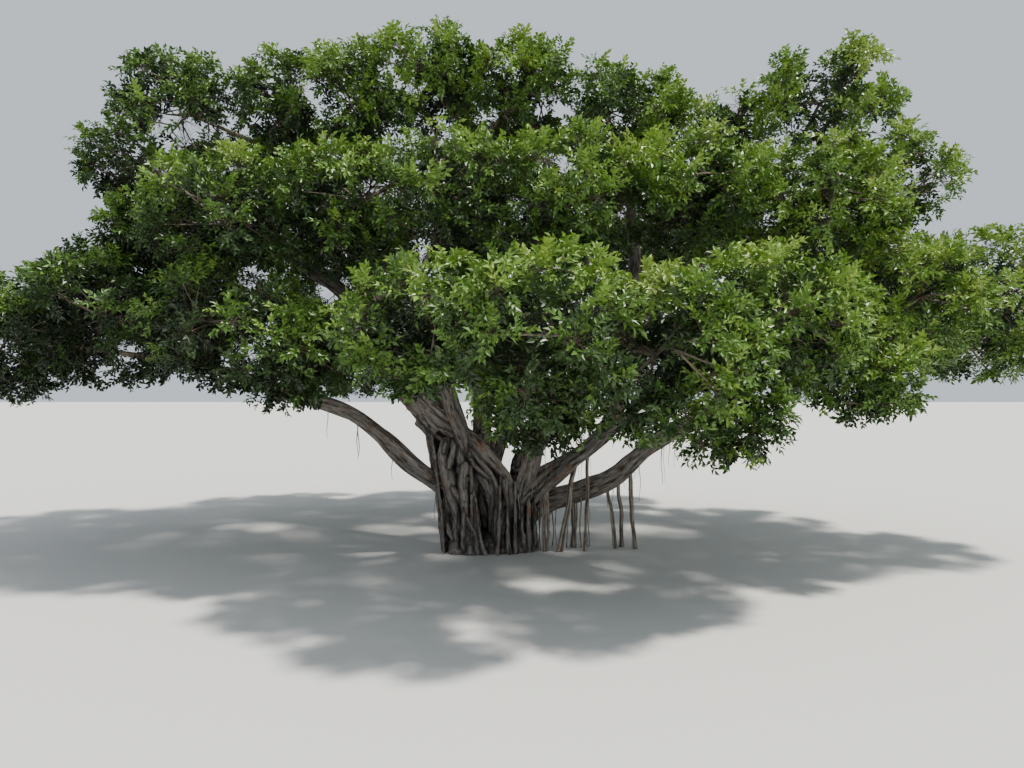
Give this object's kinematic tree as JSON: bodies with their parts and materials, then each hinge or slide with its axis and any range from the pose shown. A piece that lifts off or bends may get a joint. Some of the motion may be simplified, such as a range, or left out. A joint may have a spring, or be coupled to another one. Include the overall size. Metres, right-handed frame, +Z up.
{
  "type": "banyan tree",
  "caption": "Mature banyan tree with a fluted trunk of grown-together stems, prop roots, spreading boughs and a wide, layered evergreen crown.",
  "frame": {"origin": "centre of the trunk's flat cut at ground level", "axes": "+Z up; +X to the right of a viewer who faces the tree, along the crown's longest spread; +Y away from that viewer"},
  "size_m": [26.4153, 17.5181, 12.0893],
  "materials": {
    "bark": "rough grey-brown bark with deep upright flutes",
    "root_bark": "smoother pale grey bark of aerial roots",
    "foliage": "glossy small evergreen leaves, yellow-green on top and deep green below"
  },
  "bodies": {
    "root": {"trunk": "bark", "left_low_bough": "bark", "great_left_bough": "bark", "high_left_bough": "bark", "crown_bough": "bark", "centre_right_bough": "bark", "right_high_bough": "bark", "right_low_bough": "bark", "front_left_bough": "bark", "front_right_bough": "bark", "right_front_bough": "bark", "back_left_bough": "bark", "back_bough": "bark", "back_right_bough": "bark", "prop_root_1": "root_bark", "prop_root_2": "root_bark", "prop_root_3": "root_bark", "prop_root_4": "root_bark", "prop_root_5": "root_bark", "prop_root_6": "root_bark", "prop_root_7": "root_bark", "left_wing_tip": "foliage", "left_wing_root": "foliage", "left_skirt": "foliage", "upper_left_belly": "foliage", "upper_left_inner": "foliage", "upper_left_edge": "foliage", "upper_left_dome": "foliage", "upper_left_shoulder": "foliage", "top_left": "foliage", "top_crest": "foliage", "top_middle": "foliage", "mid_left": "foliage", "top_right": "foliage", "top_right_knob": "foliage", "right_mid_belly": "foliage", "right_saddle": "foliage", "right_leader": "foliage", "right_edge": "foliage", "right_upper_belly": "foliage", "right_wing_tip": "foliage", "right_wing_root": "foliage", "right_low": "foliage", "left_hollow": "foliage", "front_left": "foliage", "mid_centre": "foliage", "mid_right": "foliage", "front_centre": "foliage", "front_mid_right": "foliage", "front_low": "foliage", "front_right": "foliage", "front_right_hang": "foliage", "back_left": "foliage", "back_skirt_left": "foliage", "back_top_left": "foliage", "back_skirt_middle": "foliage", "back_top_middle": "foliage", "back_right": "foliage", "back_skirt_right": "foliage", "back_top_right": "foliage"}
  },
  "joints": []
}
